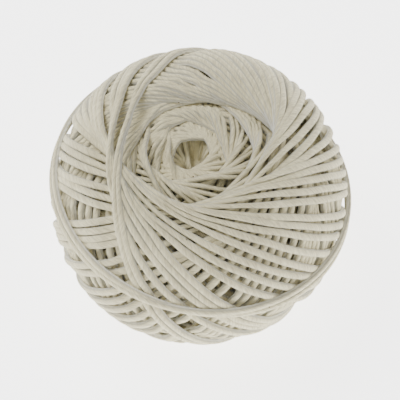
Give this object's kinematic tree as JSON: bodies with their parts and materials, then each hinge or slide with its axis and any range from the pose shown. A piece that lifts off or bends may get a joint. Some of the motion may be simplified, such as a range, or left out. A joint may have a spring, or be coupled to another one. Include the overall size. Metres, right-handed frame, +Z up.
{
  "type": "ball of twine",
  "caption": "Ball of soft undyed cotton string, wound criss-cross round a centre hole, with dished poles and a girdle round the waist.",
  "frame": {"origin": "bottom centre of the ball's box, on the plane of the flat spot that it stands on", "axes": "+Z up along the winding axis, from the pole that it stands on to the open pole; -Y towards the side that the picture shows below the pole"},
  "size_m": [0.0662, 0.0664, 0.0568],
  "materials": {
    "cotton_string": "matt, soft-twisted undyed cotton"
  },
  "bodies": {
    "root": {"twine_ball": "cotton_string"}
  },
  "joints": []
}
